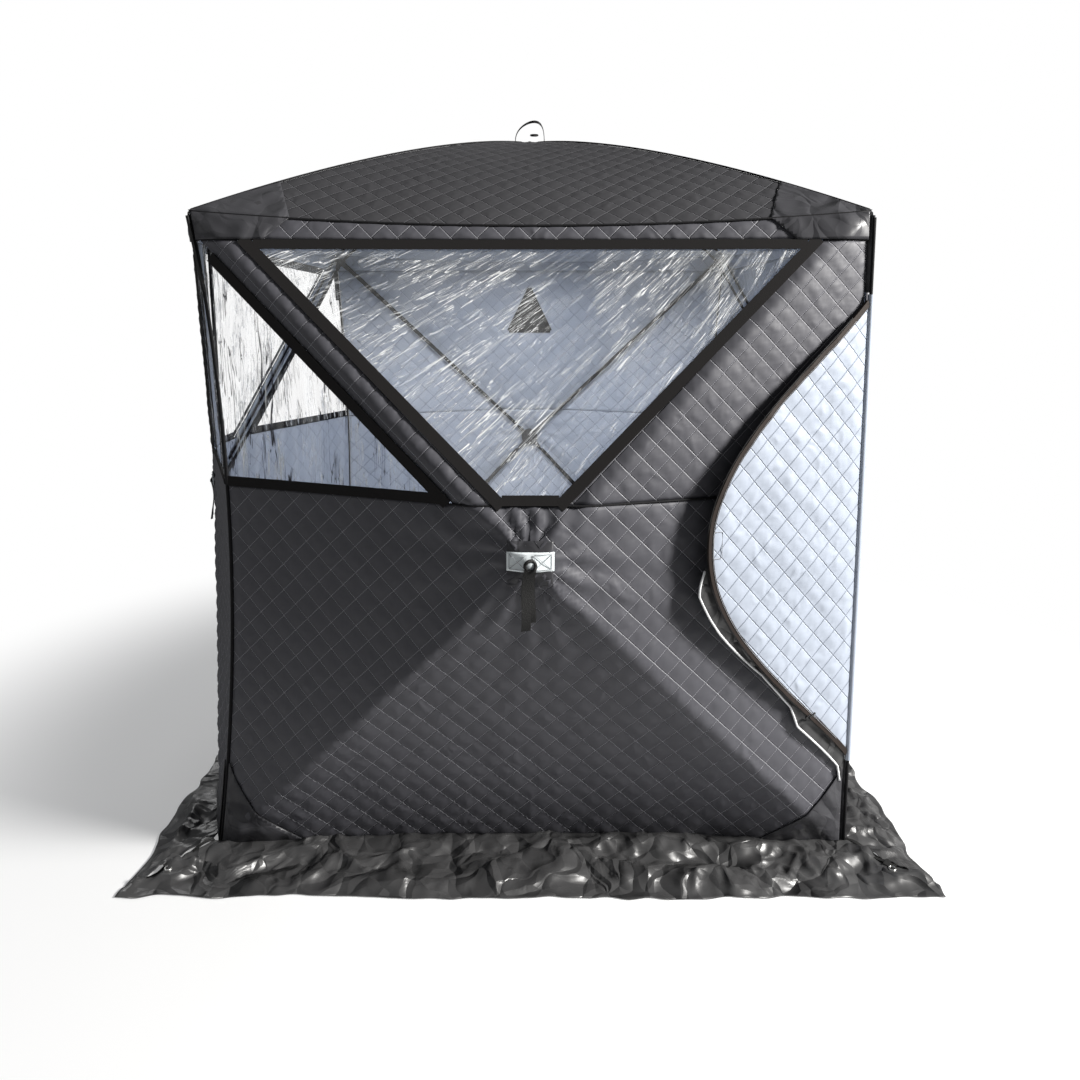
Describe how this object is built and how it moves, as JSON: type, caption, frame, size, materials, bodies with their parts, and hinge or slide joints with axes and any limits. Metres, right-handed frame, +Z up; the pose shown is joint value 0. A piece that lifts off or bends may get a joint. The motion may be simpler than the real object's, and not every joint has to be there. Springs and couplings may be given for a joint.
{
  "type": "pop-up hub ice fishing shelter",
  "caption": "Pop-up ice fishing shelter of quilted cloth on hubs and bent poles, with clear windows, a swinging door flap and a ground skirt.",
  "frame": {"origin": "on the ground at the middle of the shelter", "axes": "+Z up, the front wall with the wide window faces -Y, the doorway wall faces +X"},
  "size_m": [2.3328, 2.3328, 2.1744],
  "materials": {
    "quilted_cloth": "quilted, satin",
    "lining": "quilted, silver white",
    "plain_cloth": "satin",
    "skirt_cloth": "glossy, crumpled",
    "window_film": "clear, wrinkled",
    "hook_tape": "matt pile",
    "fibreglass": "satin",
    "nylon": "moulded",
    "webbing": "woven",
    "mesh_cloth": "matt",
    "binding": "woven",
    "white_piping": "satin"
  },
  "bodies": {
    "shelter": {"roof_front_panel": "quilted_cloth", "roof_right_panel": "quilted_cloth", "roof_back_panel": "quilted_cloth", "roof_left_panel": "quilted_cloth", "eave_bands": "quilted_cloth", "top_corner_patches": "plain_cloth", "roof_hub": "nylon", "front_hub": "nylon", "right_hub": "nylon", "back_hub": "nylon", "left_hub": "nylon", "roof_poles": "fibreglass", "front_poles": "fibreglass", "right_poles": "fibreglass", "back_poles": "fibreglass", "left_poles": "fibreglass", "top_corner_cups": "nylon", "bottom_corner_cups": "nylon", "hub_patches": "plain_cloth", "pull_straps": "webbing", "roof_strap": "webbing", "front_lower_panel": "quilted_cloth", "front_right_panel": "quilted_cloth", "front_left_arm": "quilted_cloth", "front_window_film": "window_film", "front_corner_film": "window_film", "front_window_tapes": "hook_tape", "left_lower_panel": "quilted_cloth", "left_arms": "quilted_cloth", "left_window_film": "window_film", "left_side_films": "window_film", "left_window_tapes": "hook_tape", "back_lower_panel": "quilted_cloth", "back_upper_panel": "quilted_cloth", "back_vent_mesh": "mesh_cloth", "right_lower_panel": "quilted_cloth", "right_upper_panel": "quilted_cloth", "right_door_header": "quilted_cloth", "right_door_side": "quilted_cloth", "right_door_sill": "quilted_cloth", "corner_piping": "plain_cloth", "door_corner_piping": "plain_cloth", "skirt_front": "skirt_cloth", "skirt_right": "skirt_cloth", "skirt_back": "skirt_cloth", "skirt_left": "skirt_cloth"},
    "door": {"door_panel": "lining", "door_binding": "binding", "door_flap": "plain_cloth", "door_flap_piping": "white_piping", "door_sleeve": "quilted_cloth"}
  },
  "joints": [
    {"name": "door_hinge", "type": "hinge", "parent": "shelter", "child": "door", "pos_m": [0.86678, -0.86678, 0], "axis": [0.0228, -0.0228, 0.9995], "range_deg": [0, 230.2]}
  ]
}
